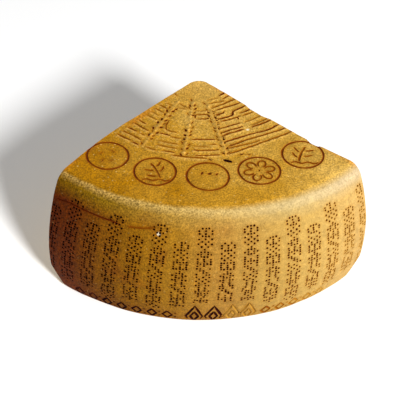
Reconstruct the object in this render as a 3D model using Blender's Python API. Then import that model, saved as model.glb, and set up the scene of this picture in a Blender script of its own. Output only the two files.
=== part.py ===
# A chunk of aged hard cheese: the upper half of a quarter wheel, lying with its moulded
# round face up and its dotted rind to the front. It is one solid piece. Metres, +Z up.
# The origin is the middle of the box round the chunk, on the face it rests on.

import math

import bmesh
import bpy
from mathutils import Vector, noise

# The wheel that the chunk is cut from. Its axis runs up through the chunk's tip.
RIM_RADIUS = 0.190            # where the rind would meet the top face, without its rounding
HEIGHT = 0.129                # half of a wheel 258 mm high
BELLY_HEIGHT = 0.053          # the widest level above the lower cut face
RIND_CURVE = 0.171            # radius of the rind's bulge, seen from the side
RIM_ROUNDING = 0.0085
HALF_ANGLE = math.radians(45.0)
TIP_ROUNDING = 0.012          # the worn tip, seen from above

# The two cut faces: how far each bows, leans or is nicked, and how craggy it is.
LEFT_BOW = 0.0042
RIGHT_BOW = -0.0032
BOW_SKEW = 1.6                # above 1, the bow is fullest nearer the rind than the tip
LEFT_LEAN = 0.0015            # the left cut leans in by this at its foot
NICK_DEPTH = 0.0016
NICKS = ((0.075, 0.016), (0.142, 0.009))   # along the right cut from the axis: middle, half width
CRAG_COARSE = 0.0016
CRAG_COARSE_SIZE = 0.030
CRAG_FINE = 0.0007
CRAG_FINE_SIZE = 0.011
CRAG_MARGIN = 0.012           # the crags fade out this close to an edge
CRAG_SEED = 7.3

# The lower edge of the rind is crumbled towards the sides, and both lower corners are chipped.
TOE_FRONT = 0.0008
TOE_SIDE = 0.0050
TOE_START = math.radians(14.0)
TOE_FULL = math.radians(38.0)
CHIP_RISE = 0.026             # up the corner
CHIP_ALONG_RIND = 0.013       # along the rind's lower edge
CHIP_ALONG_CUT = 0.018        # along the cut's lower edge

# The marks moulded into the top face.
SEAL_COUNT = 5
SEAL_STEP = math.radians(18.65)
SEAL_TURN = math.radians(-1.4)             # the middle seal, from the chunk's middle line
SEAL_RING_DISTANCE = 0.1465
SEAL_RADIUS = 0.0194
SEAL_SIDES = 32
ARC_FIRST = 0.038
ARC_STEP = 0.0068
ARC_COUNT = 13
ARC_SEGMENT = math.radians(4.0)
# Sectors of arcs: start and end angle from the middle line, and the first arc in each.
ARC_SECTORS = ((-43.0, -31.5, 5), (-28.5, -12.5, 9), (-9.0, 6.5, 8), (9.5, 43.0, 0))
GROOVE_WIDTH = 0.0020
GROOVE_DEPTH = 0.0009
CUTTER_ABOVE = 0.0010

RIND_SEGMENTS = 48
CUT_SEGMENTS = 28
TIP_SEGMENTS = 6
LOWER_LEVELS = (0.0, 0.001, 0.0025, 0.005, 0.008, 0.012, 0.017, 0.023, 0.030)
WALL_LEVELS = 9
ROUNDING_LEVELS = 6


def rind_radius(z):
    """Radius of the wheel at height z, with the rounding at its top edge."""
    bulge = RIND_CURVE - math.sqrt(RIND_CURVE ** 2 - (HEIGHT - BELLY_HEIGHT) ** 2)
    drop = RIND_CURVE - math.sqrt(RIND_CURVE ** 2 - (z - BELLY_HEIGHT) ** 2)
    radius = RIM_RADIUS + bulge - drop
    t = (z - (HEIGHT - RIM_ROUNDING)) / RIM_ROUNDING
    if t > 0:
        radius -= RIM_ROUNDING * (1 - math.sqrt(max(0.0, 1 - t * t)))
    return radius


def smooth_step(low, high, value):
    t = min(1.0, max(0.0, (value - low) / (high - low)))
    return t * t * (3 - 2 * t)


def toe_wear(angle, z):
    """How far the rind is worn back near its lower edge: nearly sharp in front, crumbled at the sides."""
    toe = TOE_FRONT + (TOE_SIDE - TOE_FRONT) * smooth_step(TOE_START, TOE_FULL, abs(angle))
    toe *= 1 + 0.35 * noise.noise(Vector((angle * 9, 0.3, CRAG_SEED)))
    t = (toe - z) / toe
    return toe * (1 - math.sqrt(max(0.0, 1 - t * t))) if t > 0 else 0.0


def cut_offset(side, s, z):
    """How far the cut face stands out from its plane, s along it from the axis. side is -1 left, 1 right."""
    radius = rind_radius(z)
    along = min(1.0, max(0.0, s / radius))
    offset = (LEFT_BOW if side < 0 else RIGHT_BOW) * math.sin(math.pi * along ** BOW_SKEW)
    if side < 0:
        offset -= LEFT_LEAN * along * (1 - z / HEIGHT)
    else:
        for middle, half in NICKS:
            offset -= NICK_DEPTH * (1 - smooth_step(0.5 * half, half, abs(s - middle)))
    edge = min(s - TIP_ROUNDING, radius - s, z, HEIGHT - z)
    fade = smooth_step(0.0, CRAG_MARGIN, edge)
    place = Vector((s, z, CRAG_SEED * side))
    crag = CRAG_COARSE * noise.noise(place / CRAG_COARSE_SIZE) + CRAG_FINE * noise.noise(place / CRAG_FINE_SIZE)
    return offset + crag * fade


def on_cut(side, s, z):
    angle = side * HALF_ANGLE
    away = Vector((side * math.cos(angle), side * math.sin(angle), 0))
    return Vector((s * math.sin(angle), -s * math.cos(angle), z)) + away * cut_offset(side, s, z)


def outline(z):
    """The chunk's closed outline at height z, anticlockwise: rind, right cut, tip, left cut."""
    points = []
    for i in range(RIND_SEGMENTS + 1):
        angle = -HALF_ANGLE + 2 * HALF_ANGLE * i / RIND_SEGMENTS
        radius = rind_radius(z) - toe_wear(angle, z)
        if i in (0, RIND_SEGMENTS):
            points.append(on_cut(-1 if i == 0 else 1, radius, z))
        else:
            points.append(Vector((radius * math.sin(angle), -radius * math.cos(angle), z)))
    reach = rind_radius(z) - toe_wear(HALF_ANGLE, z)
    steps = [reach + (TIP_ROUNDING - reach) * i / CUT_SEGMENTS for i in range(1, CUT_SEGMENTS + 1)]
    points += [on_cut(1, s, z) for s in steps]
    centre = Vector((0, -TIP_ROUNDING * math.sqrt(2), z))
    for i in range(1, TIP_SEGMENTS):
        angle = HALF_ANGLE - 2 * HALF_ANGLE * i / TIP_SEGMENTS
        points.append(centre + TIP_ROUNDING * Vector((math.sin(angle), math.cos(angle), 0)))
    reach = rind_radius(z) - toe_wear(-HALF_ANGLE, z)
    steps = [reach + (TIP_ROUNDING - reach) * i / CUT_SEGMENTS for i in range(1, CUT_SEGMENTS + 1)]
    points += [on_cut(-1, s, z) for s in reversed(steps)]
    return points


def chip_plane(side):
    """The flat that broke off a lower corner: a point on it and its outward direction."""
    foot = rind_radius(0.0)
    turn = side * (HALF_ANGLE - CHIP_ALONG_RIND / foot)
    up = on_cut(side, rind_radius(CHIP_RISE), CHIP_RISE)
    rind = Vector((foot * math.sin(turn), -foot * math.cos(turn), 0))
    cut = on_cut(side, foot - CHIP_ALONG_CUT, 0.0)
    normal = (rind - up).cross(cut - up).normalized()
    corner = on_cut(side, foot, 0.0)
    if (corner - up).dot(normal) < 0:
        normal.negate()
    return up, normal


def levels():
    heights = list(LOWER_LEVELS)
    low, high = LOWER_LEVELS[-1], HEIGHT - RIM_ROUNDING
    heights += [low + (high - low) * i / WALL_LEVELS for i in range(1, WALL_LEVELS + 1)]
    for i in range(1, ROUNDING_LEVELS + 1):
        heights.append(high + RIM_ROUNDING * math.sin(math.pi / 2 * i / ROUNDING_LEVELS))
    return heights


def chunk_body():
    """The bare chunk: outlines joined level by level, with a flat face at each end."""
    mesh = bmesh.new()
    rows = [[mesh.verts.new(point) for point in outline(z)] for z in levels()]
    count = len(rows[0])
    for lower, upper in zip(rows, rows[1:]):
        for i in range(count):
            j = (i + 1) % count
            mesh.faces.new((lower[i], lower[j], upper[j], upper[i]))
    mesh.faces.new(reversed(rows[0]))
    mesh.faces.new(rows[-1])
    for side in (-1, 1):
        place, normal = chip_plane(side)
        everything = mesh.verts[:] + mesh.edges[:] + mesh.faces[:]
        cut = bmesh.ops.bisect_plane(mesh, geom=everything, plane_co=place, plane_no=normal, clear_outer=True)
        rim = [item for item in cut["geom_cut"] if isinstance(item, bmesh.types.BMEdge)]
        bmesh.ops.contextual_create(mesh, geom=rim)
    return mesh


def groove(mesh, centre, radius, start, end, segments):
    """A V-shaped groove cutter along an arc round a centre on the top face. A full turn closes on itself."""
    closed = end - start >= 2 * math.pi - 1e-6
    rings = []
    for i in range(segments if closed else segments + 1):
        angle = start + (end - start) * i / segments
        out = Vector((math.sin(angle), -math.cos(angle), 0))
        half = GROOVE_WIDTH / 2 * (1 + CUTTER_ABOVE / GROOVE_DEPTH)
        ring = [centre + out * (radius - half) + Vector((0, 0, CUTTER_ABOVE)),
                centre + out * radius - Vector((0, 0, GROOVE_DEPTH)),
                centre + out * (radius + half) + Vector((0, 0, CUTTER_ABOVE))]
        rings.append([mesh.verts.new(point) for point in ring])
    if closed:
        rings.append(rings[0])
    for near, far in zip(rings, rings[1:]):
        for i in range(3):
            j = (i + 1) % 3
            mesh.faces.new((near[i], near[j], far[j], far[i]))
    if not closed:
        mesh.faces.new(reversed(rings[0]))
        mesh.faces.new(rings[-1])


def mark_cutters():
    """All the grooves moulded into the top face, as one set of separate closed shapes."""
    mesh = bmesh.new()
    axis = Vector((0, 0, HEIGHT))
    for i in range(SEAL_COUNT):
        angle = SEAL_TURN + (i - (SEAL_COUNT - 1) / 2) * SEAL_STEP
        centre = axis + SEAL_RING_DISTANCE * Vector((math.sin(angle), -math.cos(angle), 0))
        groove(mesh, centre, SEAL_RADIUS, 0.0, 2 * math.pi, SEAL_SIDES)
    for start, end, first in ARC_SECTORS:
        for k in range(first, ARC_COUNT):
            radius = ARC_FIRST + k * ARC_STEP
            low, high = math.radians(start), math.radians(end)
            groove(mesh, axis, radius, low, high, max(2, round((high - low) / ARC_SEGMENT)))
    bmesh.ops.recalc_face_normals(mesh, faces=mesh.faces[:])
    return mesh


def make_object(name, bmesh_data):
    mesh = bpy.data.meshes.new(name)
    bmesh_data.to_mesh(mesh)
    bmesh_data.free()
    obj = bpy.data.objects.new(name, mesh)
    bpy.context.scene.collection.objects.link(obj)
    return obj


def rind_material():
    material = bpy.data.materials.new("Aged rind")
    material.use_nodes = True
    shader = material.node_tree.nodes["Principled BSDF"]
    shader.inputs["Base Color"].default_value = (0.45, 0.24, 0.035, 1.0)
    shader.inputs["Roughness"].default_value = 0.6
    shader.inputs["Metallic"].default_value = 0.0
    return material


def centre_on_base(objects):
    """Move the wheel's axis back so that the chunk's own box is centred on the origin."""
    chunk = objects[0]
    xs = [vertex.co.x for vertex in chunk.data.vertices]
    ys = [vertex.co.y for vertex in chunk.data.vertices]
    shift = Vector((-(min(xs) + max(xs)) / 2, -(min(ys) + max(ys)) / 2, 0))
    for obj in objects:
        for vertex in obj.data.vertices:
            vertex.co += shift


def build():
    for obj in list(bpy.data.objects):
        bpy.data.objects.remove(obj, do_unlink=True)
    chunk = make_object("cheese", chunk_body())
    marks = make_object("top_marks_cutter", mark_cutters())
    marks.hide_render = True
    marks.display_type = "WIRE"
    centre_on_base([chunk, marks])
    chunk.data.materials.append(rind_material())
    cut = chunk.modifiers.new("Top marks", "BOOLEAN")
    cut.operation = "DIFFERENCE"
    cut.solver = "EXACT"
    cut.object = marks
    chunk.data.shade_smooth()
    chunk.data.set_sharp_from_angle(angle=math.radians(35))


build()
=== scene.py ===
import math
import random

import bmesh
import bpy
import numpy as np
from mathutils import Matrix, Vector, kdtree, noise
from mathutils.geometry import delaunay_2d_cdt


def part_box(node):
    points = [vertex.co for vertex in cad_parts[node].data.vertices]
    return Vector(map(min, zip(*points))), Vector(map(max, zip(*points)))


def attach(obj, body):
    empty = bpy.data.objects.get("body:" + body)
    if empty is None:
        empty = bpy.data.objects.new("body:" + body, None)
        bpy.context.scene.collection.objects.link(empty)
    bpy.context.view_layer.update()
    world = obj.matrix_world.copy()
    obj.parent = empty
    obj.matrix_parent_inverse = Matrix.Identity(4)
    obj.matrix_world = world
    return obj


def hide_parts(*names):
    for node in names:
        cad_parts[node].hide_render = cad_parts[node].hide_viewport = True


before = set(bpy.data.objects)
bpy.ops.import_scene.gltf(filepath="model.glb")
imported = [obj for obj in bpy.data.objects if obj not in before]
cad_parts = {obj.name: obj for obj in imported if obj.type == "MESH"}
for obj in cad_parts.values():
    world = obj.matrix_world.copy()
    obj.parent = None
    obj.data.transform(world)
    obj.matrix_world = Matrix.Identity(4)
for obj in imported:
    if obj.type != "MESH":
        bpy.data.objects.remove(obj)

noise.seed_set(3)  # vector noise is different in every run without it
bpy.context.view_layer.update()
boxLow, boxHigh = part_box("cheese")
print("frame loaded, cheese box", [round(v, 4) for v in boxHigh - boxLow])

# Cheese: the shape of the chunk, in metres and radians. The wheel's axis runs up through the tip.
chunk = {
    "height": boxHigh.z - boxLow.z,
    "rimRadius": 0.190,
    "bellyHeight": 0.053,
    "rindCurve": 0.171,
    "rimRounding": 0.0085,
    "halfAngle": math.radians(45),
    "tipRounding": 0.012,
    # how the two cut faces bow and lean, and the shallow nicks in the right one's top edge
    "leftBow": 0.0042, "rightBow": -0.0032, "bowSkew": 1.6,
    "leftLean": 0.0015,
    "nickDepth": 0.0016, "nickFoot": 0.050, "nickFull": 0.010, "nicks": ((0.075, 0.016), (0.142, 0.009)),
    # the foot of the rind: worn round, most at its two ends, where a chip is off too
    "toeFront": 0.0008, "toeSide": 0.0050, "toeUneven": 0.35, "toeWaves": 9, "toeSeed": 0.3,
    "toeStart": math.radians(14), "toeFull": math.radians(38),
    "chipRise": 0.026, "chipAlongRind": 0.013, "chipAlongCut": 0.018,
    # how finely the mesh is divided
    "rindSteps": 176, "cutSteps": 96, "tipSteps": 8,
    "wallSteps": 76, "wallCrowding": 1.12, "roundingSteps": 6,
    "topGrid": 0.0027, "matGrid": 0.00125, "baseGrid": 0.0050, "rimGap": 0.6,
}
# the broken, grainy relief of the two cut faces
crag = {
    "coarse": 0.0016, "coarseSize": 0.030,
    "fine": 0.0012, "fineSize": 0.010,
    "flake": 0.00055, "flakeSize": 0.0075, "flakeTilt": 3.1,
    "margin": (0.0, 0.012), "flakeMargin": (-0.001, 0.004), "seed": 7.3,
}
axisAside = -0.0003
axis = Vector((axisAside, boxHigh.y + chunk["tipRounding"] * (math.sqrt(2) - 1), 0))


def srgb(code):
    # hex sRGB to the linear values that Blender wants
    parts = [int(code[i:i + 2], 16) / 255 for i in (1, 3, 5)]
    return [p / 12.92 if p <= 0.04045 else ((p + 0.055) / 1.055) ** 2.4 for p in parts] + [1.0]


def smooth(low, high, value):
    # 0 at low, 1 at high, which may be the smaller one
    t = min(1.0, max(0.0, (value - low) / (high - low)))
    return t * t * (3 - 2 * t)


def rising(pair, value):
    # a start and a slope
    return pair[0] + pair[1] * value


def rindRadius(z):
    c = chunk
    bulge = c["rindCurve"] - math.sqrt(c["rindCurve"] ** 2 - (c["height"] - c["bellyHeight"]) ** 2)
    drop = c["rindCurve"] - math.sqrt(c["rindCurve"] ** 2 - (z - c["bellyHeight"]) ** 2)
    radius = c["rimRadius"] + bulge - drop
    t = (z - (c["height"] - c["rimRounding"])) / c["rimRounding"]
    if t > 0:
        radius -= c["rimRounding"] * (1 - math.sqrt(max(0.0, 1 - t * t)))
    return radius


def toeWear(angle, z):
    c = chunk
    toe = c["toeFront"] + (c["toeSide"] - c["toeFront"]) * smooth(c["toeStart"], c["toeFull"], abs(angle))
    toe *= 1 + c["toeUneven"] * noise.noise(Vector((angle * c["toeWaves"], c["toeSeed"], crag["seed"])))
    t = (toe - z) / toe
    return toe * (1 - math.sqrt(max(0.0, 1 - t * t))) if t > 0 else 0.0


def flakes(place):
    # every cell of a Voronoi pattern is a small facet with a tilt of its own
    centre = noise.voronoi(place)[1][0]
    tilt = noise.cell_vector(centre * crag["flakeTilt"]) - Vector((0.5, 0.5, 0.5))
    return (place - centre).dot(tilt) * 2


def cutOffset(side, s, z):
    # how far a cut face stands out from its plane, s along it from the axis
    c = chunk
    radius = rindRadius(z)
    along = min(1.0, max(0.0, s / radius))
    offset = (c["leftBow"] if side < 0 else c["rightBow"]) * math.sin(math.pi * along ** c["bowSkew"])
    if side < 0:
        offset -= c["leftLean"] * along * (1 - z / c["height"])
    else:
        for middle, half in c["nicks"]:
            depth = c["nickDepth"] * smooth(c["nickFoot"], c["height"] - c["nickFull"], z)
            offset -= depth * (1 - smooth(0.5 * half, half, abs(s - middle)))
    edge = min(s - c["tipRounding"], radius - s, z, c["height"] - z)
    fade = smooth(*crag["margin"], edge)
    place = Vector((s, z, crag["seed"] * side))
    rough = crag["coarse"] * noise.noise(place / crag["coarseSize"])
    rough += crag["fine"] * noise.noise(place / crag["fineSize"])
    near = smooth(*crag["flakeMargin"], edge)
    return offset + rough * fade + crag["flake"] * flakes(place / crag["flakeSize"]) * near


def polar(angle, radius, z):
    return Vector((radius * math.sin(angle), -radius * math.cos(angle), z))


def onCut(side, s, z):
    angle = side * chunk["halfAngle"]
    away = Vector((side * math.cos(angle), side * math.sin(angle), 0))
    return polar(angle, s, z) + away * cutOffset(side, s, z)


def onRind(angle, z, out=0.0):
    return polar(angle, rindRadius(z) + out, z)


def onTop(turn, radius):
    return polar(math.radians(turn), radius, chunk["height"])


# The imprint of the draining mat on the top: woven threads between three dotted ribs.
# Each thread is how worn it is, then a turn in degrees and a radius in millimetres for each of its points.
mat = {
    "threads": (
        (0.3, 31, 34.4, 36, 34, 40, 34, 43.4, 33.3), (0.8, 10, 36.4, 17, 36.2, 25, 36.3),
        (0.45, 31, 40.2, 37, 39.6, 43.4, 39.6), (0.65, 10.5, 41.8, 18, 41.8, 25, 42.6, 30, 42.8),
        (0.5, 10, 48.9, 15, 48, 20, 47.1, 25, 46.9, 31, 46.3, 38, 46.6, 43, 47.5),
        (0.4, 14, 53, 19.5, 52.4, 25, 51.7, 30, 52.3, 35, 53.1, 43.2, 54.2), (0.2, 9.6, 53.2, 11.8, 56.2),
        (0.4, 12, 59.4, 16, 59, 19, 58.7, 20.6, 56.4),
        (0.35, 15, 60.8, 10.2, 60.8, 10.1, 64, 10.6, 66.2, 15, 66, 20, 65.6, 24.8, 65.2, 26.2, 62.8,
         27.6, 60.6, 31, 60, 36, 60.2, 43.4, 60.8), (0.5, 13, 70.1, 20, 69.7, 29.5, 69.6),
        (0.3, 26.4, 70.4, 26.4, 73.6), (0.4, 32.3, 65.8, 36, 66.7, 43.3, 68),
        (0.6, 31.5, 70.4, 37, 71, 41, 72.2), (0.25, 10.3, 70.8, 10.9, 74.8),
        (0.45, 9.4, 80.1, 12, 79.8, 16, 79, 20, 78.4, 25.2, 78.4), (0.7, 28.6, 79.2, 36, 80, 43, 81.4),
        (0.4, 10, 86.6, 13, 85.4, 17, 84.5, 21, 84.4, 25, 83.6), (0.65, 31, 85.9, 39.5, 87.4, 43.3, 88),
        (0.4, 9.3, 91.2, 12, 89.8, 15, 88.8, 20, 88.6, 24, 87.8), (0.15, 9.4, 92, 10.2, 95.8),
        (0.4, 29.5, 88.8, 32, 89.3, 36, 90.4, 43, 91.8),
        (0.35, 9, 100, 12, 98.9, 15, 98, 20, 97.3, 25, 97, 29, 98, 33, 99.8, 37, 100.9, 43.4, 101.2),
        (0.45, 10, 106.2, 14, 104.9, 17, 103.6, 21, 102.6, 25, 103, 30, 104, 33, 104.6, 37, 106.4, 43.3,
         109), (0.6, 9.5, 109.3, 12, 108.6, 16, 108.1, 22, 108.6, 27, 108.4),
        (0.5, 8, 117, 11, 115.8, 16, 113.6, 20, 112.8, 27, 112.1, 33, 113, 38, 114.6, 43.3, 116.2),
        (0.5, -7, 63.6, -7.4, 60, -6.4, 57.8, 0, 57.4, 4, 57.8, 5.2, 60.5, 4.6, 63.6, 0, 64.2, -5, 64),
        (0.75, -7.5, 51.6, -1, 52, 4.6, 51.4), (0.4, -8, 95, -4, 94.2, 0, 94.3, 4.6, 94.6),
        (0.6, 1.5, 101.4, 4.6, 101.6), (0.45, -7, 110, 0, 109.8, 5, 109.8), (0.75, -6.5, 104.4, 0, 104.6),
        (0.45, -6, 117.6, 0, 116.9, 5, 117), (0.5, -16, 120.2, -8, 120.6, -1, 121),
        (0.7, -26, 45.5, -21, 47.3, -16.6, 49), (0.75, -25.6, 51.4, -17, 51),
        (0.6, -26.4, 74, -26.2, 81, -25, 86, -22, 87.6, -18, 87.4), (0.3, -27, 93.8, -24, 93.2, -21, 93.6),
        (0.55, -19.6, 94.8, -15, 95.4), (0.65, -24.4, 103.6, -15, 103.8), (0.6, -24.4, 109.8, -15, 110),
        (0.45, -21, 116.2, -18, 116, -15.5, 116.4), (0.6, -28.4, 117.4, -24, 117.6),
        (0.5, -43.2, 35, -39, 35.6), (0.6, -39, 50.8, -35, 51), (0.55, -43.2, 57, -35, 57.6),
        (0.7, -43.2, 63.6, -34.6, 64.6), (0.75, -43.2, 70, -36, 70.8), (0.65, -43, 76.5, -34.4, 77.4),
        (0.5, -43.6, 87.4, -38, 88.4), (0.5, -43.6, 93.5, -38, 94.8, -33.2, 96),
        (0.4, -43.8, 102.6, -38, 102.4), (0.6, -36, 102.8, -33, 103.4),
        (0.55, -43.8, 109.6, -38, 109.2, -33, 110.6), (0.4, -43.8, 116.5, -37, 116.4),
        (0.35, -35.5, 117.2, -32.4, 117.8),
    ),
    # pairs are a value and how much it changes with the wear or the draw
    "half": 0.00122, "width": (1.2, -0.4), "wear": (0.36, 0.72), "step": 0.0034,
    # the lip that stands up beside each thread's groove
    "lipAway": 0.0020, "lipWidth": 0.00100, "lipHeight": 0.00060, "lipLeft": (1.15, -0.6),
    "crumbSize": 0.0026, "crumbHeight": 0.00045, "crumbMargin": 0.006, "crumbPale": (0.12, 0.5, 0.6),
    # ribs: turn, first and last radius; ticks stand along both sides, beads on the crest
    "ribs": ((-30.2, 0.040, 0.119), (-11.2, 0.036, 0.119), (7.9, 0.042, 0.120)),
    "ribWidth": 0.0012, "ribHeight": 0.00035, "ribPale": 0.45,
    "tickStep": 0.0068, "tickAside": 0.0027, "tickAsideLeft": (0.75, 0.5), "tickWander": 0.0011,
    "tickShift": 0.4, "tickLength": 0.0031, "tickLean": 0.0009, "tickShown": 0.9,
    "tickHalf": 0.00128, "tickWidth": (1.15, -0.6), "tickWear": (0.40, 0.45),
    "beadWidth": 0.0017, "beadHeight": 0.00100, "beadLeft": (0.7, 0.3), "beadWave": 2.3, "beadStart": 0.7,
    "finest": (0.031, 0.1235), "paleTip": 0.050, "paleMost": 0.8, "seed": 5,
}


def polarLine(spots, step, away=0.0):
    # evenly spaced points along turns (degrees) and radii (millimetres), all moved away from the axis
    pairs = [(turn, reach + away) for turn, reach in zip(spots[::2], spots[1::2])]
    points = [onTop(pairs[0][0], pairs[0][1] / 1000)]
    for (turn0, reach0), (turn1, reach1) in zip(pairs, pairs[1:]):
        length = (onTop(turn1, reach1 / 1000) - onTop(turn0, reach0 / 1000)).length
        count = max(1, round(length / step))
        for i in range(1, count + 1):
            t = i / count
            points.append(onTop(turn0 + (turn1 - turn0) * t, (reach0 + (reach1 - reach0) * t) / 1000))
    return points


def ribTicks():
    # turn, radius, side and luck of each short stroke beside a rib, in one seeded order
    m = mat
    draw = random.Random(m["seed"])
    ticks = []
    for turn, low, high in m["ribs"]:
        for hand in (-1, 1):
            radius = low + m["tickStep"] * m["tickShift"] * (hand + 1)
            while radius < high:
                place = radius + draw.gauss(0, m["tickWander"])
                aside = hand * m["tickAside"] * rising(m["tickAsideLeft"], draw.random())
                ticks.append((turn + math.degrees(aside / place), place, hand, draw.random()))
                radius += m["tickStep"]
    return ticks


def nearLine(points, line, width):
    # 1 on the line, falling off softly over the width; points are rows of x, y
    path = np.array([[p.x, p.y] for p in line])
    low, high = path.min(0) - 3 * width, path.max(0) + 3 * width
    close = np.where(((points > low) & (points < high)).all(1))[0]
    result = np.zeros(len(points))
    if len(close) == 0:
        return result
    best = np.full(len(close), np.inf)
    spot = points[close]
    for start, end in zip(path, path[1:]):
        way = end - start
        t = np.clip(((spot - start) @ way) / (way @ way), 0, 1)
        gap = spot - start - t[:, None] * way
        best = np.minimum(best, (gap ** 2).sum(1))
    result[close] = np.exp(-best / width ** 2)
    return result


def matRelief(points):
    # height of the raised threads, ribs and beads, and how rubbed and pale each place is
    m = mat
    height, pale = np.zeros(len(points)), np.zeros(len(points))
    for worn, *spots in m["threads"]:
        line = polarLine(spots, m["step"] * 2, m["lipAway"] * 1000)
        lip = nearLine(points, line, m["lipWidth"]) * rising(m["lipLeft"], worn)
        height = np.maximum(height, lip * m["lipHeight"])
        pale = np.maximum(pale, lip)
    for turn, low, high in m["ribs"]:
        line = [onTop(turn, low), onTop(turn, high)]
        rib = nearLine(points, line, m["ribWidth"])
        height = np.maximum(height, rib * m["ribHeight"])
        pale = np.maximum(pale, rib * m["ribPale"])
        beads = np.arange(low + m["tickStep"] * m["beadStart"], high, m["tickStep"])
        for i, radius in enumerate(beads):
            bead = onTop(turn, radius)
            gap = (points[:, 0] - bead.x) ** 2 + (points[:, 1] - bead.y) ** 2
            left = rising(m["beadLeft"], math.sin(m["beadWave"] * i + turn))
            lump = np.exp(-gap / m["beadWidth"] ** 2) * left
            height = height + lump * m["beadHeight"]
            pale = np.maximum(pale, lump)
    # the tip is rubbed pale, and small crumbs lie all over the imprint
    reach = np.hypot(points[:, 0], points[:, 1])
    low, high = m["finest"]
    margin = m["crumbMargin"]
    showLow, showHigh, most = m["crumbPale"]
    pale = np.maximum(pale, np.clip((m["paleTip"] - reach) / m["paleTip"], 0, 1) * m["paleMost"])
    for i in np.where((reach > low) & (reach < high))[0]:
        rise = noise.noise(Vector((points[i, 0], points[i, 1], 0)) / m["crumbSize"])
        fade = smooth(low, low + margin, reach[i]) * smooth(high, high - margin, reach[i])
        height[i] += rise * m["crumbHeight"] * fade
        pale[i] = max(pale[i], smooth(showLow, showHigh, rise) * fade * most)
    return height, pale


def outline(z):
    # one closed level of the wall, anticlockwise: rind, right cut, tip, left cut
    c = chunk
    points = []
    for i in range(c["rindSteps"] + 1):
        angle = c["halfAngle"] * (2 * i / c["rindSteps"] - 1)
        wear = toeWear(angle, z)
        if i in (0, c["rindSteps"]):
            points.append(onCut(-1 if i == 0 else 1, rindRadius(z) - wear, z))
        else:
            points.append(onRind(angle, z, -wear))
    steps = [i / c["cutSteps"] for i in range(1, c["cutSteps"] + 1)]
    reach = rindRadius(z) - toeWear(c["halfAngle"], z)
    points += [onCut(1, reach + (c["tipRounding"] - reach) * t, z) for t in steps]
    centre = Vector((0, -c["tipRounding"] * math.sqrt(2), z))
    for i in range(1, c["tipSteps"]):
        angle = c["halfAngle"] * (1 - 2 * i / c["tipSteps"])
        points.append(centre + c["tipRounding"] * Vector((math.sin(angle), math.cos(angle), 0)))
    reach = rindRadius(z) - toeWear(-c["halfAngle"], z)
    points += [onCut(-1, reach + (c["tipRounding"] - reach) * t, z) for t in reversed(steps)]
    return points


def hexGrid(flat, grid):
    # even points inside an outline, a little away from it
    xs, ys = [p.x for p in flat], [p.y for p in flat]
    rise = grid * math.sqrt(0.75)
    inner = []
    for row in range(1, int((max(ys) - min(ys)) / rise) + 1):
        x = min(xs) + (grid / 2 if row % 2 else 0)
        while x < max(xs):
            inner.append((x, min(ys) + row * rise))
            x += grid
    rim = np.array([list(p) for p in flat])
    inner = np.array(inner)
    nearest = np.array([np.hypot(rim[:, 0] - x, rim[:, 1] - y).min() for x, y in inner])
    return inner[nearest > grid * chunk["rimGap"]]


def fillCap(mesh, rim, grid, upward):
    # even triangles across a flat end, finer where the mat's relief needs them
    flat = [Vector((v.co.x, v.co.y)) for v in rim]
    count = len(flat)
    inner = hexGrid(flat, grid)
    if upward:
        fine = hexGrid(flat, chunk["matGrid"])
        reach, fineReach = np.hypot(inner[:, 0], inner[:, 1]), np.hypot(fine[:, 0], fine[:, 1])
        low, high = mat["finest"]
        inner = np.concatenate((inner[(reach < low - grid) | (reach > high + grid)],
                                fine[(fineReach > low) & (fineReach < high)]))
    points = flat + [Vector(p) for p in inner]
    edges = [(i, (i + 1) % count) for i in range(count)]
    points, _, faces, origin, _, _ = delaunay_2d_cdt(points, edges, [list(range(count))], 1, 1e-7)
    relief = matRelief(np.array([list(p) for p in points]))[0] if upward else np.zeros(len(points))
    z = rim[0].co.z
    verts = []
    for point, source, lift in zip(points, origin, relief):
        old = [i for i in source if i < count]
        verts.append(rim[old[0]] if old else mesh.verts.new((point.x, point.y, z + lift)))
    for face in faces:
        corners = [verts[i] for i in face]
        if len(set(corners)) == 3:
            mesh.faces.new(corners if upward else corners[::-1])


def chipPlane(side):
    c = chunk
    foot = rindRadius(0.0)
    turn = side * (c["halfAngle"] - c["chipAlongRind"] / foot)
    up = onCut(side, rindRadius(c["chipRise"]), c["chipRise"])
    rind = polar(turn, foot, 0)
    cut = onCut(side, foot - c["chipAlongCut"], 0.0)
    normal = (rind - up).cross(cut - up).normalized()
    if (onCut(side, foot, 0.0) - up).dot(normal) < 0:
        normal.negate()
    return up, normal


def chunkMesh():
    c = chunk
    top = c["height"] - c["rimRounding"]
    heights = [top * (i / c["wallSteps"]) ** c["wallCrowding"] for i in range(c["wallSteps"] + 1)]
    for i in range(1, c["roundingSteps"] + 1):
        heights.append(top + c["rimRounding"] * math.sin(math.pi / 2 * i / c["roundingSteps"]))
    mesh = bmesh.new()
    rows = [[mesh.verts.new(p) for p in outline(z)] for z in heights]
    count = len(rows[0])
    for lower, upper in zip(rows, rows[1:]):
        for i in range(count):
            j = (i + 1) % count
            mesh.faces.new((lower[i], lower[j], upper[j], upper[i]))
    fillCap(mesh, rows[0], c["baseGrid"], False)
    fillCap(mesh, rows[-1], c["topGrid"], True)
    for side in (-1, 1):
        place, normal = chipPlane(side)
        parts = mesh.verts[:] + mesh.edges[:] + mesh.faces[:]
        cut = bmesh.ops.bisect_plane(mesh, geom=parts, plane_co=place, plane_no=normal, clear_outer=True)
        rim = [item for item in cut["geom_cut"] if isinstance(item, bmesh.types.BMEdge)]
        face = bmesh.ops.contextual_create(mesh, geom=rim)["faces"]
        bmesh.ops.triangulate(mesh, faces=face)
    bmesh.ops.recalc_face_normals(mesh, faces=mesh.faces[:])
    return mesh


def newObject(name, mesh):
    obj = bpy.data.objects.new(name, mesh)
    bpy.context.scene.collection.objects.link(obj)
    return obj


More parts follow.
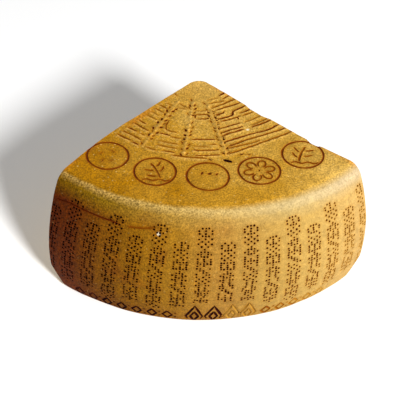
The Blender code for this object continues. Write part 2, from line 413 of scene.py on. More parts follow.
body = bpy.data.meshes.new("chunkBody")
bodyMesh = chunkMesh()
bodyMesh.to_mesh(body)
bodyMesh.free()
cheese = newObject("agedCheese", body)
print("bare chunk:", len(body.polygons), "faces")


def addNode(tree, kind, inputs=None, **settings):
    # an input is a constant, a socket, or a node, which stands for its first output
    node = tree.nodes.new(kind)
    for name, value in settings.items():
        setattr(node, name, value)
    named = {socket.identifier: socket for socket in node.inputs}
    for key, value in (inputs or {}).items():
        socket = named[key] if key in named else node.inputs[key]
        if isinstance(value, bpy.types.Node):
            value = value.outputs[0]
        if isinstance(value, bpy.types.NodeSocket):
            tree.links.new(value, socket)
        else:
            socket.default_value = value
    return node


def newTree(name, sizes):
    tree = bpy.data.node_groups.new(name, "GeometryNodeTree")
    tree.interface.new_socket("Geometry", in_out="INPUT", socket_type="NodeSocketGeometry")
    for label, value in sizes.items():
        kind = "NodeSocketInt" if isinstance(value, int) else "NodeSocketFloat"
        tree.interface.new_socket(label, in_out="INPUT", socket_type=kind).default_value = value
    tree.interface.new_socket("Material", in_out="INPUT", socket_type="NodeSocketMaterial")
    tree.interface.new_socket("Geometry", in_out="OUTPUT", socket_type="NodeSocketGeometry")
    return tree, addNode(tree, "NodeGroupInput"), addNode(tree, "NodeGroupOutput")


def runTree(obj, tree, **values):
    # the tree's result as a plain mesh, with the modifier gone
    modifier = obj.modifiers.new(tree.name, "NODES")
    modifier.node_group = tree
    for item in tree.interface.items_tree:
        if item.in_out == "INPUT" and item.name in values:
            modifier[item.identifier] = values[item.name]
    graph = bpy.context.evaluated_depsgraph_get()
    mesh = bpy.data.meshes.new_from_object(obj.evaluated_get(graph))
    obj.modifiers.clear()
    return mesh


def attribute(mesh, name, values, kind="FLOAT"):
    data = mesh.attributes.new(name, kind, "POINT").data
    data.foreach_set("vector" if kind == "FLOAT_VECTOR" else "value", np.ravel(values))


# Stamps: the round pits of the dotted columns. Each is a blunt cone sunk at a point, as deep as its depth
# and standing a little above the surface, so that it cuts clean through it.
stamp = {
    "Mouth": 0.00108, "Floor": 0.00082, "Depth": 0.0011, "Above": 0.0006, "Sides": 7,
    "Smallest": 0.85, "Largest": 1.12, "Seed": 4,
}


def stampTree():
    tree, given, result = newTree("Round stamps", stamp)
    mouth, floor, depth, above = [given.outputs[name] for name in ("Mouth", "Floor", "Depth", "Above")]
    reach = addNode(tree, "ShaderNodeMath", {0: depth, 1: above}, operation="ADD")
    ratio = addNode(tree, "ShaderNodeMath", {0: reach, 1: depth}, operation="DIVIDE")
    slope = addNode(tree, "ShaderNodeMath", {0: mouth, 1: floor}, operation="SUBTRACT")
    wide = addNode(tree, "ShaderNodeMath", {0: slope, 1: ratio, 2: floor}, operation="MULTIPLY_ADD")
    cone = addNode(tree, "GeometryNodeMeshCone", {
        "Vertices": given.outputs["Sides"], "Radius Top": wide, "Radius Bottom": floor, "Depth": reach},
        fill_type="NGON")
    sink = addNode(tree, "ShaderNodeMath", {0: depth, 1: -1.0}, operation="MULTIPLY")
    drop = addNode(tree, "ShaderNodeCombineXYZ", {"Z": sink})
    lower = addNode(tree, "GeometryNodeTransform", {"Geometry": cone, "Translation": drop})
    normal = addNode(tree, "GeometryNodeInputNamedAttribute", {"Name": "outward"}, data_type="FLOAT_VECTOR")
    turn = addNode(tree, "FunctionNodeAlignRotationToVector", {"Vector": normal}, axis="Z")
    draw = addNode(tree, "FunctionNodeRandomValue", {
        "Min_001": given.outputs["Smallest"], "Max_001": given.outputs["Largest"],
        "Seed": given.outputs["Seed"]}, data_type="FLOAT")
    points = addNode(tree, "GeometryNodeMeshToPoints", {"Mesh": given.outputs["Geometry"]})
    spread = addNode(tree, "GeometryNodeInstanceOnPoints", {
        "Points": points, "Instance": lower, "Rotation": turn, "Scale": draw.outputs[1]})
    real = addNode(tree, "GeometryNodeRealizeInstances", {"Geometry": spread})
    done = addNode(tree, "GeometryNodeSetMaterial", {
        "Geometry": real, "Material": given.outputs["Material"]})
    tree.links.new(done.outputs[0], result.inputs[0])
    return tree


# Strokes: grooves pressed along a line, as thick as the line says. They run a little above the surface,
# so that they are wide and shallow.
strokes = {"lift": 0.45, "endShare": 0.6, "markStep": 0.001, "uneven": 0.3, "unevenSize": 0.005}


def strokeTree():
    tree, given, result = newTree("Pressed strokes", {"Sides": 8})
    line = addNode(tree, "GeometryNodeMeshToCurve", {"Mesh": given.outputs["Geometry"]})
    ring = addNode(tree, "GeometryNodeCurvePrimitiveCircle", {
        "Resolution": given.outputs["Sides"], "Radius": 1.0})
    thick = addNode(tree, "GeometryNodeInputNamedAttribute", {"Name": "thick"}, data_type="FLOAT")
    tube = addNode(tree, "GeometryNodeCurveToMesh", {
        "Curve": line, "Profile Curve": ring, "Scale": thick, "Fill Caps": True})
    real = addNode(tree, "GeometryNodeRealizeInstances", {"Geometry": tube})
    done = addNode(tree, "GeometryNodeSetMaterial", {
        "Geometry": real, "Material": given.outputs["Material"]})
    tree.links.new(done.outputs[0], result.inputs[0])
    return tree


# Columns of dots round the rind: plain ornament, five dots wide and four rows a motif.
dots = {
    # the columns fan out and lean towards the foot: turns in degrees, lengths in metres
    "columns": 16,
    "firstTurn": -43.0, "turnStep": 5.78,
    "fan": 0.05, "lean": -0.5,
    "topLong": 0.1122, "topShort": 0.0982,
    "foot": 0.0135, "footVary": 0.003, "overFigures": (7, 8, 9), "figureFoot": 0.0290, "endMargin": 0.008,
    "acrossStep": 0.0029, "rowStep": 0.00236, "motifStep": 0.0099,
    "wander": 0.00013, "footWander": 0.00035, "missing": 0.02, "slopeStep": 0.001, "seed": 11,
    # marks on the side are darker on the left, partly painted shade where the side turns away from the lamp,
    # and paler towards the right, partly rubbed
    "shadeAndWearTurns": (-40, -20, 0, 12, 24, 36, 45), "wear": (0.0, 0.12, 0.25, 0.40, 0.60, 0.86, 1.0),
}
motifs = {
    "bead": (".###.", "#.#.#", "#.#.#", ".###."),
    "window": ("#####", "#.#.#", "#.#.#", "#####"),
    "checks": ("#.#.#", ".#.#.", "#.#.#", ".#.#."),
    "wedge": ("#####", ".###.", ".#.#.", "..#.."),
    "slant": ("##..#", ".##..", "..##.", "#..##"),
    "fours": ("##.##", ".#.#.", ".#.#.", "##.##"),
    "kite": ("..#..", ".###.", "##.##", ".###."),
    "rows": ("#####", "..#..", "#####", "..#.."),
    "posts": ("#.#.#", "#.#.#", "#####", "#.#.#"),
}
longColumn = ("bead", "checks", "kite", "posts", "slant", "checks", "fours", "wedge", "window", "checks")
shortColumn = ("bead", "checks", "window", "kite", "fours", "slant", "posts", "rows")


def dotPoints():
    d = dots
    draw = random.Random(d["seed"])
    points, outward, worn = [], [], []
    for k in range(d["columns"]):
        isLong = k % 2 == 1
        top = d["topLong"] if isLong else d["topShort"]
        above = k in d["overFigures"]
        foot = d["figureFoot"] if above else d["foot"] + d["footVary"] * draw.random()
        for i, name in enumerate(longColumn if isLong else shortColumn):
            for j, row in enumerate(motifs[name]):
                z = top - i * d["motifStep"] - j * d["rowStep"]
                t = (d["topLong"] - z) / (d["topLong"] - d["foot"])
                middle = (d["firstTurn"] + k * d["turnStep"]) * (1 + d["fan"] * t) + d["lean"] * t
                wander = d["wander"] + d["footWander"] * t ** 3
                for place, dot in enumerate(row):
                    x = (place - len(row) // 2) * d["acrossStep"] + draw.gauss(0, wander)
                    height = z + draw.gauss(0, wander)
                    angle = math.radians(middle) + x / rindRadius(height)
                    lost = draw.random() < d["missing"]
                    if dot != "#" or lost or z < foot or abs(angle) > chunk["halfAngle"] - d["endMargin"]:
                        continue
                    points.append(onRind(angle, height))
                    step = d["slopeStep"]
                    slope = (rindRadius(height + step) - rindRadius(height - step)) / (2 * step)
                    outward.append(Vector((math.sin(angle), -math.cos(angle), -slope)).normalized())
                    worn.append(sideShadeAndWear(angle))
    return points, outward, worn


# how pale the side's marks are at a turn: paler to the right partly as wear, darker to the left partly as
# painted shade
def sideShadeAndWear(angle):
    return float(np.interp(math.degrees(angle), dots["shadeAndWearTurns"], dots["wear"]))


# Rings on the top, with a small plain figure in each: sprigs, a rosette, or a few worn strokes.
seals = {
    "count": 5, "turn": -1.4, "step": 18.65, "distance": 0.1465,
    "radius": 0.0189, "half": 0.00126, "sides": 44, "worn": 0.60, "figureHalf": 0.00124, "figureWorn": 0.66,
    # rosette: which ring, then the petals' first turn, how far out they stand, their half length and width
    "rosette": 3, "petals": 6, "petalTurn": 12, "petalOut": 0.0096, "petalLong": 0.0047, "petalWide": 0.0036,
    "petalGap": 0.6, "bud": 0.0006, "budWidth": 1.3,
    # sprigs: the lean of each in degrees and its hand, the stem, and the leaves by turns on its sides
    "sprigs": {1: (24, 1), 4: (-28, -1)},
    "stemFoot": -0.0105, "stemLong": 0.022, "stemBow": 0.0022, "stemBend": 2.2,
    "leaves": ((0.12, -1), (0.3, 1), (0.48, -1), (0.66, 1)), "leafFoot": -0.0095,
    "leafStart": (0.0024, 0.0010), "leafLong": 0.0066, "leafRise": 0.0046, "leafCurl": 1.7,
    "groundHalf": 0.0125, "groundHeight": (-0.0115, -0.001), "groundWave": 0.0012, "groundWaves": 7,
    # short worn strokes: place from the ring's middle, lean in degrees, how dark
    "dash": 0.0036, "dashWidth": (0.7, 0.45), "dashWorn": (0.8, -0.45),
    "dashes": {
        0: ((-0.006, 0.004, 30, 0.1), (0.005, 0.006, -40, 0.1), (0.003, -0.007, 15, 0.1),
            (-0.005, -0.006, 70, 0.1)),
        2: ((-0.0046, 0.0044, 65, 0.9), (0.0020, 0.0036, 10, 0.8), (0.0084, 0.0030, 50, 0.7)),
    },
}


def sealCentres():
    return [onTop(seals["turn"] + (i - 2) * seals["step"], seals["distance"]) for i in range(seals["count"])]


def level(angle):
    return Vector((math.cos(angle), math.sin(angle), 0))


def sealLines():
    s = seals
    half, worn = s["figureHalf"], s["figureWorn"]
    lines = []
    for i, centre in enumerate(sealCentres()):
        ring = [centre + s["radius"] * level(2 * math.pi * k / s["sides"]) for k in range(s["sides"])]
        lines.append((ring, s["half"], s["worn"], True))
        if i == s["rosette"]:
            lines += [([centre + p for p in petal], half, worn, False) for petal in rosette()]
            bud = [centre + Vector((s["bud"] * t, 0, 0)) for t in (-1, 0, 1)]
            lines.append((bud, half * s["budWidth"], worn, False))
        if i in s["sprigs"]:
            lines += [([centre + p for p in path], half, worn, False) for path in sprig(*s["sprigs"][i])]
        for x, y, lean, dark in s["dashes"].get(i, ()):
            start = centre + Vector((x, y, 0))
            dash = [start + s["dash"] * t * level(math.radians(lean)) for t in (-0.5, 0, 0.5)]
            lines.append((dash, half * rising(s["dashWidth"], dark), rising(s["dashWorn"], dark), False))
    return lines


def rosette():
    s = seals
    petals = []
    for k in range(s["petals"]):
        angle = math.radians(360 / s["petals"] * k + s["petalTurn"])
        out, side = level(angle), level(angle + math.pi / 2) * s["petalWide"]
        petals.append([out * (s["petalOut"] - s["petalLong"] * math.cos(b)) + side * math.sin(b)
                       for b in np.linspace(s["petalGap"], 2 * math.pi - s["petalGap"], 12)])
    return petals


def sprig(lean, hand):
    # a line of ground, then the stem and its leaves
    s = seals
    spin = Matrix.Rotation(math.radians(lean), 3, "Z")
    paths = [[]]
    for t in np.linspace(-1, 1, 11):
        wave = s["groundWave"] * math.sin(s["groundWaves"] * t)
        paths[0].append(Vector((s["groundHalf"] * t, rising(s["groundHeight"], t) + wave, 0)))
    bow = hand * s["stemBow"]
    paths.append([spin @ Vector((bow * math.sin(s["stemBend"] * t), s["stemFoot"] + s["stemLong"] * t, 0))
                  for t in np.linspace(0, 1, 9)])
    away, above = s["leafStart"]
    for t, side in s["leaves"]:
        x = bow * math.sin(s["stemBend"] * t) + side * away
        y = s["leafFoot"] + s["stemLong"] * t + above
        along = side * s["leafLong"]
        paths.append([spin @ Vector((x + along * r, y + s["leafRise"] * r ** s["leafCurl"], 0))
                      for r in np.linspace(0, 1, 5)])
    return paths


def matLines():
    m = mat
    lines = []
    for worn, *spots in m["threads"]:
        half = m["half"] * rising(m["width"], worn)
        lines.append((polarLine(spots, m["step"]), half, rising(m["wear"], worn), False))
    for turn, radius, hand, luck in ribTicks():
        lean = math.degrees(m["tickLean"] * hand / radius)
        tick = [onTop(turn - lean * t * 2, radius + m["tickLength"] * t) for t in (-0.5, 0, 0.5)]
        half = m["tickHalf"] * rising(m["tickWidth"], luck)
        if luck < m["tickShown"]:
            lines.append((tick, half, rising(m["tickWear"], luck), False))
    return lines


# Knife nicks and gouges: how worn, half the width, then turn and radius in millimetres along each.
scars = (
    (0.05, 0.00190, 5.7, 124.2, 7.2, 126.4, 9.0, 129.2), (0.35, 0.00110, 13.2, 120.6, 15.4, 119.8),
    (0.45, 0.0007, -0.4, 121.8, 0.9, 124.2), (0.5, 0.0006, 16.6, 121.6, 18.0, 123.2),
)


def scarLines():
    step = 0.002
    return [(polarLine(spots, step), half, worn, False) for worn, half, *spots in scars]


# The border at the foot of the rind: lozenges with pairs of dots between them, four nested lozenges
# taller than the rest, and two seams left by the mould near the rim.
band = {
    "low": 0.0022, "high": 0.0132, "half": 0.00132, "step": 2.05, "wide": 1.25,
    # the dots, and how much paler all is outside the bold stretch
    "dotAway": 0.55, "dotHigh": 0.0007, "dotWidth": 1.15, "boldFrom": -30.0, "boldTo": 0.0, "paler": 0.25,
    "runs": ((-36.0, 14), (14.6, 9)),
    # turn and wear of each tall figure, and the height where the foot cuts them off
    "figures": ((-4.4, 0.12), (0.6, 0.15), (5.2, 1.0), (9.6, 0.95)),
    "figureTop": 0.0240, "figureRise": 0.0162, "figureWide": 2.2, "figureHalf": 0.00150,
    "nested": (1.0, 0.45), "cutOff": 0.0012,
    # seams: wear, half the width, then turn and height in millimetres along each
    "seams": ((0.45, 0.0010, (-44, 105.5), (-40, 107.6), (-33, 107.2), (-27, 106.8), (-24.5, 105.2)),
              (0.66, 0.0009, (-22.5, 105.4), (-19, 107.2), (-15, 109.8))),
}


def rindLine(pairs, half, worn, closed=False):
    return [onRind(math.radians(turn), z) for turn, z in pairs], half, worn, closed


def quarters(corners):
    # each straight side in four steps, without the last corner
    path = []
    for (turn0, z0), (turn1, z1) in zip(corners, corners[1:]):
        path += [(turn0 + (turn1 - turn0) * t, z0 + (z1 - z0) * t) for t in (0, 0.25, 0.5, 0.75)]
    return path


def lozenge(turn, middle, wide, rise):
    top = (turn, middle + rise)
    return quarters([top, (turn + wide, middle), (turn, middle - rise), (turn - wide, middle), top])


def bandLines():
    b = band
    middle, rise = (b["low"] + b["high"]) / 2, (b["high"] - b["low"]) / 2
    lines = []
    for first, count in b["runs"]:
        for k in range(count):
            turn = first + b["step"] * k
            bold = b["boldFrom"] < turn < b["boldTo"]
            worn = sideShadeAndWear(math.radians(turn)) + (0.0 if bold else b["paler"])
            if k % 2 == 0:
                lines.append(rindLine(lozenge(turn, middle, b["wide"], rise), b["half"], worn, True))
                continue
            for away in (-b["dotAway"], b["dotAway"]):
                dot = [(turn, middle + rise * away + b["dotHigh"] * t) for t in (-1, 0, 1)]
                lines.append(rindLine(dot, b["half"] * b["dotWidth"], worn))
    middle = b["figureTop"] - b["figureRise"]
    for turn, worn in b["figures"]:
        for share in b["nested"]:
            path = lozenge(turn, middle, b["figureWide"] * share, b["figureRise"] * share)
            low = min(range(len(path)), key=lambda i: path[i][1])
            path = [spot for spot in path[low + 1:] + path[:low] if spot[1] > b["cutOff"]]
            lines.append(rindLine(path, b["figureHalf"], worn, share < 1))
    for worn, half, *pairs in b["seams"]:
        lines.append(rindLine(quarters([(turn, z / 1000) for turn, z in pairs]), half, worn))
    return lines


def lineObject(name, lines):
    # also gives back places along the lines with the wear there
    points, edges, thick, marks = [], [], [], []
    for line, half, wear, closed in lines:
        start = len(points)
        for spot in line:
            flat = math.isclose(spot.z, chunk["height"], abs_tol=0.0001)
            out = Vector((0, 0, 1)) if flat else Vector((spot.x, spot.y, 0)).normalized()
            points.append(spot + out * half * strokes["lift"])
            wobble = noise.noise(spot / strokes["unevenSize"])
            thick.append(half * (1 + strokes["uneven"] * wobble))
        edges += [(start + i, start + i + 1) for i in range(len(line) - 1)]
        if closed:
            edges.append((len(points) - 1, start))
        else:
            thick[start] *= strokes["endShare"]
            thick[-1] *= strokes["endShare"]
        for first, second in zip(line, line[1:] + line[:1] if closed else line[1:]):
            count = max(1, round((second - first).length / strokes["markStep"]))
            marks += [(first.lerp(second, t / count), wear) for t in range(count + 1)]
    mesh = bpy.data.meshes.new(name)
    mesh.from_pydata([tuple(p) for p in points], edges, [])
    attribute(mesh, "thick", thick)
    return newObject(name, mesh), marks


def newMaterial(name, constants):
    material = bpy.data.materials.new(name)
    material.use_nodes = True
    shader = material.node_tree.nodes["Principled BSDF"]
    for socket, value in constants.items():
        shader.inputs[socket].default_value = value
    return material, material.node_tree, shader


def layerColour(colour, made):
    # a row or a stack by its name, a colour by its code, or a plain level
    if colour in made:
        return made[colour]
    return srgb(colour) if isinstance(colour, str) else [colour] * 3 + [1.0]


def setStops(ramp, stops):
    elements = ramp.color_ramp.elements
    while len(elements) < len(stops):
        elements.new(0.5)
    for element, (place, colour) in zip(elements, stops):
        element.position = place
        element.color = srgb(colour)


# Rind: the wheel's own dried crust, brined, oiled and brushed. It is hard and almost matt,
# amber where it is smooth and pale and frosty where the rim and the raised threads are rubbed.
# Paste: the cut inside, straw coloured, dry and grainy, with white crystals.
cheeseLook = {
    # sizes in millimetres: the grain is drawn coarser than the real rind's, so that it shows
    "fine": 1.47, "mottle": 5.26, "patch": 38.5, "fleck": 4.17, "crystal": 4.0,
    "topAcross": (3.84, 2.7, 0.0),  # how fast the top's colours change along x and y
    # two pale specks of dried curd
    "specks": {"topSpeck": onTop(25.8, 0.090), "sideSpeck": onRind(math.radians(-14.5), 0.104)},
    "bump": 0.4, "bumpHeight": 0.0008, "shader": {"Specular IOR Level": 0.04},
}
# rows of colours: the first three run from the left end of the rind to the right, in shares of its turn,
# the top's from its front left to its back right, and the paste's from the rind inwards
colourRows = {
    # the side and shoulder rows darken towards the left end partly as painted shade where the key lamp does
    # not reach, and partly as the rind's own redder brown; the crest row turns paler and greyer to the right
    # partly as a painted highlight where the lamp catches the rim
    "sideRow": ("across", (0.0, "#5C2402"), (0.08, "#662D02"), (0.17, "#784804"), (0.28, "#875A08"),
                (0.39, "#906516"), (0.5, "#986E2A"), (0.63, "#9D7A38"), (0.79, "#A58444"), (1.0, "#A9874E")),
    "shoulderRow": ("across", (0.0, "#7C5602"), (0.17, "#84630C"), (0.33, "#937028"), (0.5, "#A17E3A"),
                    (0.72, "#A28B57"), (1.0, "#A69069")),
    "crestRow": ("across", (0.17, "#B28E4A"), (0.33, "#B2924E"), (0.5, "#B4975A"),
                 (0.72, "#AF9868"), (1.0, "#B29C78")),
    "topRow": ("cloud", (0.0, "#9A6800"), (0.17, "#A37417"), (0.48, "#AA7C1F"), (0.76, "#B38A37"),
               (1.0, "#BE9748")),
    "pasteRow": ("inward", (0.0, "#BC883A"), (0.22, "#E4B96C"), (0.55, "#F4D498")),
}
# sums that make borders ragged: a value, how many times it counts, and what it is added to
sums = {
    "shoulderBorder": ("patch", 8.0, "rimArc"),
    "topBorder": ("mottle", 3.0, "rimArc"),
    "leaning": ("turn", -0.075, "rimArc"),
    "crestBorder": ("mottle", 3.0, "leaning"),
    "clouds": ("patch", 1.1, "slope"),
    "cloud": ("clouds", 1.0, -0.05),
    "topSpeckBorder": ("mottle", 0.004, "topSpeck"),
    "sideSpeckBorder": ("mottle", 0.004, "sideSpeck"),
    "centred": ("fine", 1.0, -0.5),
    "relief": ("fine", 1.0, "mottle"),
}
# ranges: a value, where on it the range starts and ends, and what it gives there if that isn't 0 and 1
ranges = {
    "across": ("turn", -45.0, 45.0),
    "leftward": ("turn", 20.0, -30.0),
    "patchStain": ("patch", 0.52, 0.68, 0.0, 0.5),
    "footStain": ("height", 0.030, 0.006, 0.0, 0.35),
    "onShoulder": ("shoulderBorder", 29.0, 15.0),
    # the crest's pale band is wider to the right, partly a painted highlight where the lamp catches the rim
    # and partly rubbed crust
    "crestFull": ("turn", -20.0, 30.0, 8.0, 13.0),
    "crestStart": ("topBorder", 5.4, "crestFull"),
    "crestEnd": ("crestBorder", 15.5, 10.5),
    "crestGrain": ("fine", 0.36, 0.56, 0.6, 1.0),
    "topEnd": ("turn", -20.0, 30.0, 8.0, 11.0),
    "onTop": ("topBorder", "topEnd", 4.8),
    "nearCut": ("edge", 6.0, 0.0),
    "cutPatch": ("patch", 0.40, 0.56, 0.0, 0.6),
    "fleckSpot": ("fleckGap", 0.24, 0.12),
    "fleckLuck": ("fleckColour", 0.58, 0.62),
    "fleckShare": ("onTop", 0.0, 1.0, 0.15, 0.4),
    "topSpeckShare": ("topSpeckBorder", 0.0042, 0.0028, 0.0, 0.8),
    "sideSpeckShare": ("sideSpeckBorder", 0.0041, 0.0027, 0.0, 0.8),
    "inward": ("rindDepth", 0.0, 24.0),
    "inside": ("rindDepth", 1.2, 2.4),
    "crystalSpot": ("crystalGap", 0.20, 0.10, 0.0, 0.8),
    "sideGrain": ("turn", -35.0, 15.0, 3.2, 0.8),
    "cloudGrain": ("mottle", 0.3, 0.7, 0.86, 1.14),
    "roughness": ("mottle", 0.0, 1.0, 0.5, 0.75),
}
# stacks: what lies lowest, then each layer's colour and the strengths that it is laid with
stacks = {
    # the side's row, darker to the left partly as painted shade, has stains to the left, then the olive
    # shoulder under the rim and the rim's crest, rubbed pale and partly a painted highlight
    "side": ("sideRow", ("#6A2A08", "soiled", "leftward"), ("shoulderRow", "onShoulder"),
             ("crestRow", "crestStart", "crestEnd", "crestGrain")),
    # the top's threads are rubbed pale, its rings are deeper, and its cut edges more orange
    "top": ("topRow", ("#D2A95C", "raised", 0.62), ("#7A4A00", "sealed", 0.10),
            ("#B86C0A", "nearCut", "cutPatch")),
    # the rind round each mark is darkened and yellowed; then small pale flecks and the two specks
    "rind": ("side", ("top", "onTop"), ("#E5C245", "halo", 0.6),
             ("#DDBB70", "fleckSpot", "fleckLuck", "fleckShare"),
             ("#D9CFB4", "topSpeckShare"), ("#D9CFB4", "sideSpeckShare")),
    "paste": ("pasteRow", ("#FAEED2", "crystalSpot")),
    "whole": ("rind", ("paste", "inside")),
    # how strong the grain is, and how cloudy
    "grainShare": ("sideGrain", (2.2, "onTop"), (0.6, "inside")),
    "cloudy": ("cloudGrain", (1.0, "inside")),
}


def cheeseMaterial():
    # every value, row and stack goes into one dictionary by its name in the tables above
    look = cheeseLook
    material, tree, shader = newMaterial("Aged rind and grainy paste", look["shader"])
    place = addNode(tree, "ShaderNodeTexCoord").outputs["Object"]
    made = {"height": addNode(tree, "ShaderNodeSeparateXYZ", {"Vector": place}).outputs["Z"]}
    for name in ("rindDepth", "turn", "rimArc", "edge", "raised", "halo", "sealed"):
        made[name] = addNode(tree, "ShaderNodeAttribute", attribute_name=name).outputs["Fac"]
    for name in ("fine", "mottle", "patch"):
        made[name] = addNode(tree, "ShaderNodeTexNoise", {
            "Vector": place, "Scale": 1000 / look[name], "Detail": 3.0})
    for name in ("fleck", "crystal"):
        cells = addNode(tree, "ShaderNodeTexVoronoi", {"Vector": place, "Scale": 1000 / look[name]})
        made[name + "Gap"] = cells.outputs["Distance"]
        made[name + "Colour"] = cells.outputs["Color"]
    for name, spot in look["specks"].items():
        made[name] = addNode(tree, "ShaderNodeVectorMath", {
            0: place, 1: spot + axis}, operation="DISTANCE").outputs["Value"]
    made["slope"] = addNode(tree, "ShaderNodeVectorMath", {
        0: place, 1: look["topAcross"]}, operation="DOT_PRODUCT").outputs["Value"]
    for name, (first, times, second) in sums.items():
        made[name] = addNode(tree, "ShaderNodeMath", {
            0: made[first], 1: times, 2: made.get(second, second)}, operation="MULTIPLY_ADD")
    for name, (source, start, end, *given) in ranges.items():
        low, high = given or (0.0, 1.0)
        made[name] = addNode(tree, "ShaderNodeMapRange", {
            "Value": made[source], "From Min": made.get(start, start), "From Max": made.get(end, end),
            "To Min": low, "To Max": high})
    made["soiled"] = addNode(tree, "ShaderNodeMath", {
        0: made["patchStain"], 1: made["footStain"]}, operation="MAXIMUM")
    for name, (source, *stops) in colourRows.items():
        ramp = addNode(tree, "ShaderNodeValToRGB", {"Fac": made[source]})
        setStops(ramp, stops)
        made[name] = ramp
    # the halo darkens what it lies on, and every other layer covers it
    for name, (lowest, *layers) in stacks.items():
        made[name] = made[lowest]
        for colour, strength, *others in layers:
            share = made[strength]
            for other in others:
                share = addNode(tree, "ShaderNodeMath", {
                    0: share, 1: made.get(other, other)}, operation="MULTIPLY")
            made[name] = addNode(tree, "ShaderNodeMix", {
                "Factor_Float": share, "A_Color": made[name], "B_Color": layerColour(colour, made)},
                data_type="RGBA", blend_type="MULTIPLY" if strength == "halo" else "MIX").outputs[2]
    grain = addNode(tree, "ShaderNodeMath", {
        0: made["centred"], 1: made["grainShare"], 2: 1.0}, operation="MULTIPLY_ADD")
    grain = addNode(tree, "ShaderNodeMath", {0: grain, 1: made["cloudy"]}, operation="MULTIPLY")
    final = addNode(tree, "ShaderNodeVectorMath", {0: made["whole"], "Scale": grain}, operation="SCALE")
    bump = addNode(tree, "ShaderNodeBump", {
        "Height": made["relief"], "Strength": look["bump"], "Distance": look["bumpHeight"]})
    tree.links.new(final.outputs[0], shader.inputs["Base Color"])
    tree.links.new(made["roughness"].outputs[0], shader.inputs["Roughness"])
    tree.links.new(bump.outputs[0], shader.inputs["Normal"])
    return material


# Pressed mark: the bottom of a dot or groove, where the rind is compacted and holds dark oil and dust.
markLook = {
    # from fresh and dark to worn and pale; on the side the same value also darkens marks towards the left
    # end as painted shade
    "row": ((0.0, "#1C0000"), (0.2, "#340800"), (0.4, "#501600"), (0.6, "#6E3000"), (0.8, "#8A5404"),
            (1.0, "#A0762A")),
    "uneven": 6.25, "unevenShare": 0.3,  # millimetres, and how far it shifts the wear
    "shader": {"Roughness": 0.7, "Specular IOR Level": 0.04},
}


def markMaterial():
    look = markLook
    material, tree, shader = newMaterial("Pressed mark in rind", look["shader"])
    place = addNode(tree, "ShaderNodeTexCoord").outputs["Object"]
    # the wear value is real wear, and on the side's marks it is also painted shade that darkens them towards
    # the left end
    worn = addNode(tree, "ShaderNodeAttribute", attribute_name="worn").outputs["Fac"]
    clouds = addNode(tree, "ShaderNodeTexNoise", {
        "Vector": place, "Scale": 1000 / look["uneven"], "Detail": 3.0})
    share = look["unevenShare"]
    fade = addNode(tree, "ShaderNodeMath", {0: clouds, 1: share, 2: worn}, operation="MULTIPLY_ADD")
    shade = addNode(tree, "ShaderNodeMath", {0: fade, 1: -share / 2}, operation="ADD")
    ramp = addNode(tree, "ShaderNodeValToRGB", {"Fac": shade})
    setStops(ramp, look["row"])
    tree.links.new(ramp.outputs[0], shader.inputs["Base Color"])
    return material


rindMaterial = cheeseMaterial()
pressedMaterial = markMaterial()
cheese.data.materials.append(rindMaterial)
cheese.data.materials.append(pressedMaterial)

# Press the marks in.
points, outward, dotWorn = dotPoints()
dotMesh = bpy.data.meshes.new("dotPoints")
dotMesh.from_pydata([tuple(p) for p in points], [], [])
attribute(dotMesh, "outward", np.array([list(v) for v in outward]), "FLOAT_VECTOR")
dotSource = newObject("dotPoints", dotMesh)
pitCutter = newObject("pitCutter", runTree(dotSource, stampTree(), Material=pressedMaterial))
lineSource, lineMarks = lineObject("markLines", sealLines() + matLines() + scarLines() + bandLines())
lineCutter = newObject("lineCutter", runTree(lineSource, strokeTree(), Material=pressedMaterial))
print("pits:", len(points), "cutter faces:", len(pitCutter.data.polygons), len(lineCutter.data.polygons))

for cutter in (pitCutter, lineCutter):
    cut = cheese.modifiers.new(cutter.name, "BOOLEAN")
    cut.operation = "DIFFERENCE"
    cut.solver = "MANIFOLD"
    cut.material_mode = "TRANSFER"
    cut.object = cutter
pressed = bpy.data.meshes.new_from_object(cheese.evaluated_get(bpy.context.evaluated_depsgraph_get()))
cheese.modifiers.clear()
cheese.data = pressed
for helper in (pitCutter, lineCutter, dotSource, lineSource):
    bpy.data.objects.remove(helper)
print("pressed chunk:", len(pressed.polygons), "faces, materials", [m.name for m in pressed.materials])


# Soft unevenness, and what the materials need to know of each point: all lengths for them in millimetres.
uneven = {
    "wide": 0.028, "wideLift": 0.00035, "small": 0.007, "smallLift": 0.00014, "level": 0.004,
    "sharp": math.radians(34), "halo": 0.0018, "profileSteps": 400, "raisedTo": 0.001, "sealedTo": 0.002,
}


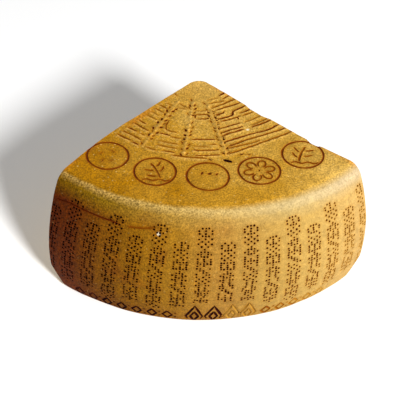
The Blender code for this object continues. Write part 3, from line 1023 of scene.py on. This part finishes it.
def finishMesh(mesh):
    count = len(mesh.vertices)
    flat = np.zeros(count * 3)
    mesh.vertices.foreach_get("co", flat)
    place = flat.reshape(-1, 3)
    x, y, z = place.T
    reach = np.hypot(x, y)
    levels = np.linspace(0, chunk["height"], uneven["profileSteps"])
    profile = np.interp(z, levels, [rindRadius(v) for v in levels])
    below = chunk["height"] - z
    rounding = chunk["rimRounding"]
    centre = rindRadius(chunk["height"])
    bend = np.arctan2(np.maximum(0, reach - centre), np.maximum(1e-6, rounding - below))
    arc = np.where(reach < centre, reach - centre, rounding * np.minimum(bend, math.pi / 2))
    arc = np.where(below > rounding, rounding * math.pi / 2 + below - rounding, arc)
    attribute(mesh, "rindDepth", np.maximum(0, np.minimum(profile - reach, below)) * 1000)
    turn = np.arctan2(x, -y)
    attribute(mesh, "turn", np.degrees(turn))
    attribute(mesh, "rimArc", arc * 1000)
    attribute(mesh, "edge", np.abs(reach * np.sin(chunk["halfAngle"] - np.abs(turn))) * 1000)
    attribute(mesh, "raised", np.where(below < uneven["raisedTo"], matRelief(place[:, :2])[1], 0))
    marks = list(zip(points, dotWorn)) + lineMarks
    tree = kdtree.KDTree(len(marks))
    for i, (spot, wear) in enumerate(marks):
        tree.insert(spot, i)
    tree.balance()
    found = [tree.find(vertex.co) for vertex in mesh.vertices]
    attribute(mesh, "worn", [marks[i][1] for spot, i, gap in found])
    attribute(mesh, "halo", np.exp(-(np.array([gap for spot, i, gap in found]) / uneven["halo"]) ** 2))
    nearest = np.min([np.hypot(x - ring.x, y - ring.y) for ring in sealCentres()], axis=0)
    attribute(mesh, "sealed", (nearest < seals["radius"]) & (below < uneven["sealedTo"]))
    for vertex, height in zip(mesh.vertices, z):
        wave = noise.noise_vector(vertex.co / uneven["wide"]) * uneven["wideLift"]
        wave += noise.noise_vector(vertex.co / uneven["small"]) * uneven["smallLift"]
        wave.z *= min(1.0, height / uneven["level"])
        vertex.co += wave
    mesh.transform(Matrix.Translation(axis))
    mesh.shade_smooth()
    mesh.set_sharp_from_angle(angle=uneven["sharp"])


finishMesh(pressed)
mesh = bmesh.new()
mesh.from_mesh(pressed)
print("open edges:", sum(1 for e in mesh.edges if len(e.link_faces) != 2),
      "triangles:", sum(len(f.verts) - 2 for f in mesh.faces),
      "litres:", round(mesh.calc_volume() * 1000, 3))
mesh.free()

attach(cheese, "root")
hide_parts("cheese")

# Floor, light and camera.
studio = {
    "floor": {"Base Color": srgb("#F6F6F6"), "Roughness": 0.9, "Specular IOR Level": 0.1},
    "floorSize": 6.0, "sky": 0.40,
    # each lamp, aimed at the middle of the chunk: turn and height in degrees, distance, size and power
    "key": (52.0, 27.0, 2.6, 0.55, 105.0),
    "back": (205.0, 38.0, 2.6, 0.8, 26.0),
    "paper": (21.0, 32.5, 4.0, 0.75, 262.0),
    "lampAim": (0, 0, 0.06),
    "aim": (-0.0033, 0.0114, 0.0559),
    "yaw": -7.07, "pitch": 41.21, "roll": 3.30, "distance": 1.52, "lens": 144.5, "sensor": 36,
}


def plainFloor():
    half = studio["floorSize"] / 2
    mesh = bpy.data.meshes.new("floor")
    corners = [(-half, -half, 0), (half, -half, 0), (half, half, 0), (-half, half, 0)]
    mesh.from_pydata(corners, [], [(0, 1, 2, 3)])
    floor = newObject("floor", mesh)
    floor.location.z = boxLow.z
    mesh.materials.append(newMaterial("Matt white paper", studio["floor"])[0])
    return floor


def direction(turn, height):
    height = math.radians(height)
    return polar(math.radians(turn), math.cos(height), math.sin(height))


def addLamp(name, only):
    # a round softbox that lights one thing, so that the shadow can fall where a second lamp throws it
    turn, height, distance, size, power = studio[name]
    light = bpy.data.lights.new(name, "AREA")
    light.shape = "DISK"
    light.size = size
    light.energy = power
    lamp = newObject(name, light)
    out = direction(turn, height)
    lamp.location = Vector(studio["lampAim"]) + out * distance
    lamp.rotation_euler = out.to_track_quat("Z", "Y").to_euler()
    lit = bpy.data.collections.new(name + "Lights")
    lit.objects.link(only)
    lamp.light_linking.receiver_collection = lit


def lightAndCamera(floor):
    s = studio
    scene = bpy.context.scene
    world = bpy.data.worlds.new("Soft white room")
    scene.world = world
    world.use_nodes = True
    sky = world.node_tree.nodes["Background"]
    sky.inputs["Color"].default_value = (1, 1, 1, 1)
    sky.inputs["Strength"].default_value = s["sky"]
    addLamp("key", cheese)
    addLamp("back", cheese)
    addLamp("paper", floor)
    camera = bpy.data.cameras.new("camera")
    camera.lens = s["lens"]
    camera.sensor_width = s["sensor"]
    holder = newObject("camera", camera)
    back = direction(s["yaw"], s["pitch"])
    right = level(math.radians(s["yaw"]))
    up = back.cross(right)
    roll = math.radians(s["roll"])
    rolledRight = right * math.cos(roll) + up * math.sin(roll)
    rolledUp = up * math.cos(roll) - right * math.sin(roll)
    # the columns are the camera's right, up and back
    turned = Matrix((rolledRight, rolledUp, back)).transposed().to_4x4()
    holder.matrix_world = Matrix.Translation(Vector(s["aim"]) + back * s["distance"]) @ turned
    scene.camera = holder
    scene.view_settings.view_transform = "Standard"


lightAndCamera(plainFloor())
